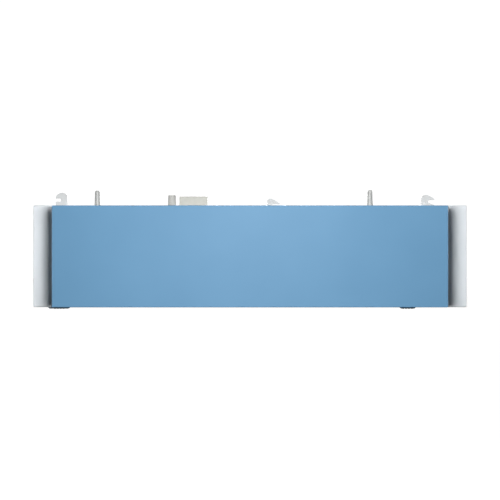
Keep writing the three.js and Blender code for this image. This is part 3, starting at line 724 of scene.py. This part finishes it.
def buildKeyBlock():
    size = blockSize
    bm = cuboid(low("key_block"), high("key_block"))
    bm.normal_update()
    outerCorners = edgesAlong(bm, yAxis)
    for face in [f for f in bm.faces if abs(f.normal.y) > size["facing"]]:
        bmesh.ops.inset_region(bm, faces=[face], thickness=size["frame"] * mm, depth=0, use_even_offset=True)
        bmesh.ops.inset_region(
            bm, faces=[face], thickness=size["step"] * mm, depth=-size["recess"] * mm, use_even_offset=True,
        )
    roundEdges(bm, outerCorners, size["corner"], size["cornerSteps"])
    rim = [e for y in (low("key_block").y, high("key_block").y) for e in onPlane(bm.edges, 1, y)]
    roundEdges(bm, sharpEdges(rim, size["foldAngle"]), size["edge"], size["edgeSteps"])
    finishPiece("key_block_moulded", bm, "key_block")


buildStandingPieces()
buildKeyBlock()
print("standing pieces done")

# return springs: closed turns at both ends
springSize = {
    "wire": 1.3, "turns": 11, "closed": 1.5, "ringSides": 8, "stepsPerTurn": 16, "smooth": 60, "keep": 0.588,
}


def buildSpring(node, joint, anchorX):
    size = springSize
    wire = size["wire"] * mm
    centre = middle(node)
    radius = (high(node).y - low(node).y) / 2 - wire / 2
    coilSpan = high(node).x - low(node).x - wire - 2 * size["closed"] * wire
    start = Vector((low(node).x + wire / 2, centre.y + radius, centre.z))
    bm = bmesh.new()
    ring = bmesh.ops.create_circle(bm, cap_ends=False, radius=wire / 2, segments=size["ringSides"])["verts"]
    bmesh.ops.transform(bm, matrix=Matrix.Translation(start), verts=ring)
    live = list(ring) + list({e for v in ring for e in v.link_edges})
    bmesh.ops.contextual_create(bm, geom=[e for e in live if isinstance(e, bmesh.types.BMEdge)])
    stretches = ((size["closed"], wire), (size["turns"], coilSpan / size["turns"]), (size["closed"], wire))
    for turns, pitch in stretches:
        made = bmesh.ops.spin(
            bm, geom=live, cent=(start.x, centre.y, centre.z), axis=(1, 0, 0),
            dvec=(pitch / size["stepsPerTurn"], 0, 0), angle=math.tau * turns,
            steps=round(turns * size["stepsPerTurn"]), use_merge=False, use_duplicate=False,
        )
        live = made["geom_last"]
    bmesh.ops.contextual_create(bm, geom=[g for g in live if isinstance(g, bmesh.types.BMEdge)])
    squash = {
        "joint": joint, "axis": (1, 0, 0), "anchor": (anchorX, centre.y, centre.z), "keep": size["keep"],
    }
    finishPiece(node + "_coil", bm, node, size["smooth"], squash)


buildSpring("left_spring", "left_latch_slide", high("left_spring").x)
buildSpring("right_spring", "right_latch_slide", low("right_spring").x)
print("springs done")

# camera, light and floor
studio = {
    "lens": 50.0, "sensor": 36.0, "distance": 2.1, "rise": 0.0194, "floorDrop": 1.25, "floorHalf": 30,
    "backdrop": 1.05, "reflected": 0.35,
}
# each light: place and target from the middle of the face's front, size, power, shape, spread
# keyFar lights all but the tray and the hooks. The end lights reach only the tray, the side lights
# the tray, the face and the stand-offs, and hookFar the hooks, so that each gets an even light
lights = {
    "keyFar": ((0, -1.78, 0.34), (0, 0, 0), (0.8, 0.7), 45.2, "RECTANGLE", 180),
    "hookFar": ((0, -6.0, 1.1), (0, 0, 0), (2.4, 2.1), 457.0, "RECTANGLE", 180),
    "endLeft": ((0, -0.7, 0.15), (-0.64, 0.05, 0.05), (0.56, 1.0), 4.0, "ELLIPSE", 80),
    "endRight": ((0, -0.7, 0.15), (0.64, 0.05, 0.05), (0.56, 1.0), 4.0, "ELLIPSE", 80),
    "top": ((0, 0.05, 1.5), (0, 0.05, 0), (1.6, 0.5), 9.0, "RECTANGLE", 180),
    "back": ((0, 2.0, 0.6), (0, 0, 0), (0.9, 0.9), 42.0, "RECTANGLE", 180),
    "sideLeft": ((-2.2, 0.35, 0.2), (-0.6, 0.05, 0), (0.8, 0.8), 16.0, "RECTANGLE", 180),
    "sideRight": ((2.2, 0.35, 0.2), (0.6, 0.05, 0), (0.8, 0.8), 16.0, "RECTANGLE", 180),
    "fillLeft": ((-2.2, -0.8, 0), (0, 0, 0), (1.0, 1.0), 3.0, "RECTANGLE", 180),
    "fillRight": ((2.2, -0.8, 0), (0, 0, 0), (1.0, 1.0), 3.0, "RECTANGLE", 180),
}
# Matt seamless paper: white, with a faint tooth, and bright enough to read as a lit background
paleFloor = {
    "name": "paleFloor", "tones": ("#7a7a7a", "#7d7d7d"),
    "patterns": {"tooth": (3, 3.0, 0.6, even), "cloud": (300, 2.0, 0.5, even)},
    "toneFrom": ("cloud", "tooth", 0.2), "toneSpan": (0.3, 0.7),
    "dullness": ("tooth", 0.03, 0.03), "relief": (("tooth", 0.02, 0.1),),
    "shader": {"Roughness": 0.9, "Emission Color": (1, 1, 1, 1), "Emission Strength": 1.0},
}


def addLight(name, origin, values):
    offset, target, size, power, shape, spread = values
    lamp = bpy.data.lights.new(name, "AREA")
    lamp.shape = shape
    lamp.size, lamp.size_y = size
    lamp.energy = power
    lamp.spread = math.radians(spread)
    holder = bpy.data.objects.new(name, lamp)
    holder.location = origin + Vector(offset)
    aim = Vector(target) - Vector(offset)
    holder.rotation_euler = aim.to_track_quat("-Z", "Y").to_euler()
    holder.visible_camera = False
    bpy.context.scene.collection.objects.link(holder)
    return holder


def limitLight(light, pieces, state):
    # the light reaches only these pieces, or all but these
    group = bpy.data.collections.new(light.name + "Reach")
    for piece in pieces:
        group.objects.link(piece)
    light.light_linking.receiver_collection = group
    for item in group.collection_objects:
        item.light_linking.link_state = state


def piecesWith(*marks):
    return [thing for thing in bpy.context.scene.objects if any(mark in thing.name for mark in marks)]


def buildStudio():
    scene = bpy.context.scene
    centre = middle("face_skin")
    origin = Vector((centre.x, low("face_skin").y, centre.z))
    camera = bpy.data.cameras.new("camera")
    camera.lens = studio["lens"]
    camera.sensor_width = studio["sensor"]
    eye = bpy.data.objects.new("camera", camera)
    eye.location = origin + Vector((0, -studio["distance"], studio["rise"]))
    eye.rotation_euler = (math.pi / 2, 0, 0)
    scene.collection.objects.link(eye)
    scene.camera = eye
    lamps = {name: addLight(name, origin, values) for name, values in lights.items()}
    tray = piecesWith("tray_sheet", "_rail", "_cap")
    hooks = piecesWith("_hook", "left_latch_plate")
    ends = tray + [o for o in scene.objects if o.name.startswith(("face_", "standoff_"))]
    for side in ("Left", "Right"):
        limitLight(lamps["end" + side], tray, "INCLUDE")
        limitLight(lamps["side" + side], ends, "INCLUDE")
    limitLight(lamps["hookFar"], hooks, "INCLUDE")
    limitLight(lamps["keyFar"], tray + hooks, "EXCLUDE")
    world = bpy.data.worlds.new("paleStudio")
    world.use_nodes = True
    # white behind the object, and a softer grey in its reflections
    tree = world.node_tree
    rays = addNode(tree, "ShaderNodeLightPath")
    strength = addNode(
        tree, "ShaderNodeMapRange", {"To Min": studio["reflected"], "To Max": studio["backdrop"]},
        {"Value": rays.outputs["Is Camera Ray"]},
    )
    background = tree.nodes["Background"]
    background.inputs["Color"].default_value = (1, 1, 1, 1)
    tree.links.new(strength.outputs["Result"], background.inputs["Strength"])
    world.cycles_visibility.diffuse = False
    scene.world = world
    scene.view_settings.view_transform = "Standard"
    floor = bmesh.new()
    bmesh.ops.create_grid(floor, x_segments=1, y_segments=1, size=studio["floorHalf"])
    bmesh.ops.translate(floor, vec=(0, 0, centre.z - studio["floorDrop"]), verts=floor.verts)
    mesh = bpy.data.meshes.new("floor")
    floor.to_mesh(mesh)
    floor.free()
    ground = bpy.data.objects.new("floor", mesh)
    mesh.materials.append(makeFinish(paleFloor))
    ground.visible_diffuse = False
    ground.visible_glossy = False
    scene.collection.objects.link(ground)


buildStudio()

# the CAD meshes get the materials too
for node, thing in frame["nodes"].items():
    if thing.data.materials:
        thing.data.materials[0] = finishes[slotOf[node]]
    else:
        thing.data.materials.append(finishes[slotOf[node]])
